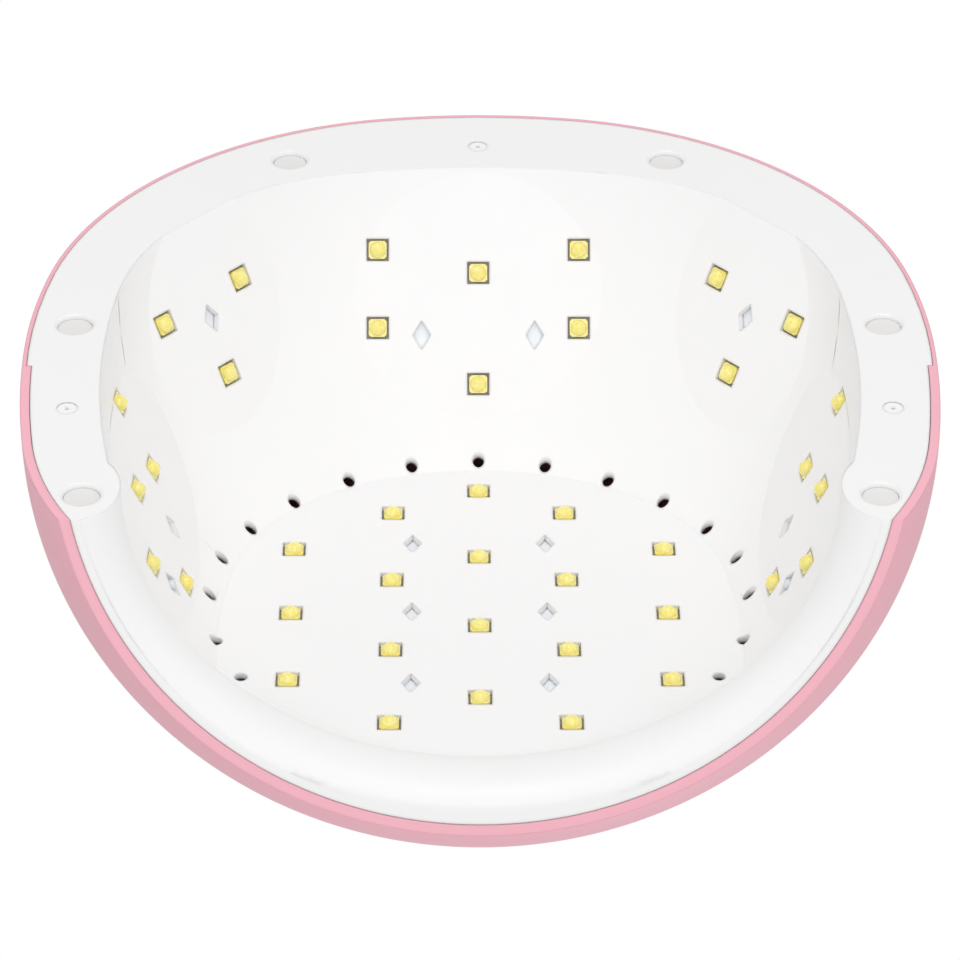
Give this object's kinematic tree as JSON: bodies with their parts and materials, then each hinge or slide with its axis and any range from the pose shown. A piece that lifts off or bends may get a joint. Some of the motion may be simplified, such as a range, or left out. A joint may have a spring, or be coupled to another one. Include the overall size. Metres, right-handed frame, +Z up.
{
  "type": "uv led nail lamp",
  "caption": "Domed pink curing lamp for gel nail varnish, open in front and underneath, with a white reflector liner, LED windows, rim, timer buttons and rear inlet.",
  "frame": {"origin": "under the middle of the casing, on the plane of the rim that stands on the table", "axes": "+X across the lamp to its left as the user sits in front, +Z up, +Y towards the back with the power inlet; the hand goes in from -Y"},
  "size_m": [0.2228, 0.2154, 0.099],
  "materials": {
    "casing": "satin light pink moulded plastic",
    "liner": "white moulded plastic, slightly glossy",
    "plugs": "white plastic plugs",
    "screws": "zinc plated steel",
    "lamp_pcb": "white lacquered aluminium boards",
    "control_pcb": "green lacquered fibreglass board",
    "led_packages": "grey ceramic bases with solder",
    "led_lenses": "clear silicone domes over a yellow chip",
    "display_cover": "smoked clear acrylic",
    "display_figures": "unlit seven-bar figures",
    "buttons": "white moulded buttons",
    "switch_cans": "stamped steel cans",
    "black_parts": "black moulded plastic",
    "wiring": "black insulated wire bundles",
    "connectors": "natural nylon",
    "coil": "dark ferrite and lacquered wire",
    "capacitors": "sleeved aluminium cans",
    "sensor_clear": "clear epoxy"
  },
  "bodies": {
    "lamp": {"outer_casing": "casing", "inner_liner": "liner", "screw_plugs": "plugs", "casing_screws": "screws", "ceiling_board": "lamp_pcb", "back_board": "lamp_pcb", "corner_board_left": "lamp_pcb", "corner_board_right": "lamp_pcb", "side_board_left": "lamp_pcb", "side_board_right": "lamp_pcb", "ceiling_leds": "led_packages", "back_leds": "led_packages", "corner_leds_left": "led_packages", "corner_leds_right": "led_packages", "side_leds_left": "led_packages", "side_leds_right": "led_packages", "ceiling_lenses": "led_lenses", "back_lenses": "led_lenses", "corner_lenses_left": "led_lenses", "corner_lenses_right": "led_lenses", "side_lenses_left": "led_lenses", "side_lenses_right": "led_lenses", "board_screws": "screws", "control_board": "control_pcb", "control_screws": "screws", "display_module": "black_parts", "display_digits": "display_figures", "display_window": "display_cover", "switch_bodies": "switch_cans", "processor_chip": "black_parts", "driver_transistors": "black_parts", "choke_coil": "coil", "smoothing_capacitors": "capacitors", "board_connectors": "connectors", "hand_emitter": "sensor_clear", "hand_receiver": "sensor_clear", "power_inlet": "black_parts", "inlet_pin": "screws", "internal_wiring": "wiring"},
    "button_1": {"timer_button_1": "buttons", "switch_plunger_1": "black_parts"},
    "button_2": {"timer_button_2": "buttons", "switch_plunger_2": "black_parts"},
    "button_3": {"timer_button_3": "buttons", "switch_plunger_3": "black_parts"},
    "button_4": {"timer_button_4": "buttons", "switch_plunger_4": "black_parts"}
  },
  "joints": [
    {"name": "press_button_1", "type": "slide", "parent": "lamp", "child": "button_1", "axis": [0, 0, -1], "range_m": [0, 0.0005], "stiffness_N_per_m": 800},
    {"name": "press_button_2", "type": "slide", "parent": "lamp", "child": "button_2", "axis": [0, 0, -1], "range_m": [0, 0.0005], "stiffness_N_per_m": 800},
    {"name": "press_button_3", "type": "slide", "parent": "lamp", "child": "button_3", "axis": [0, 0, -1], "range_m": [0, 0.0005], "stiffness_N_per_m": 800},
    {"name": "press_button_4", "type": "slide", "parent": "lamp", "child": "button_4", "axis": [0, 0, -1], "range_m": [0, 0.0005], "stiffness_N_per_m": 800}
  ]
}
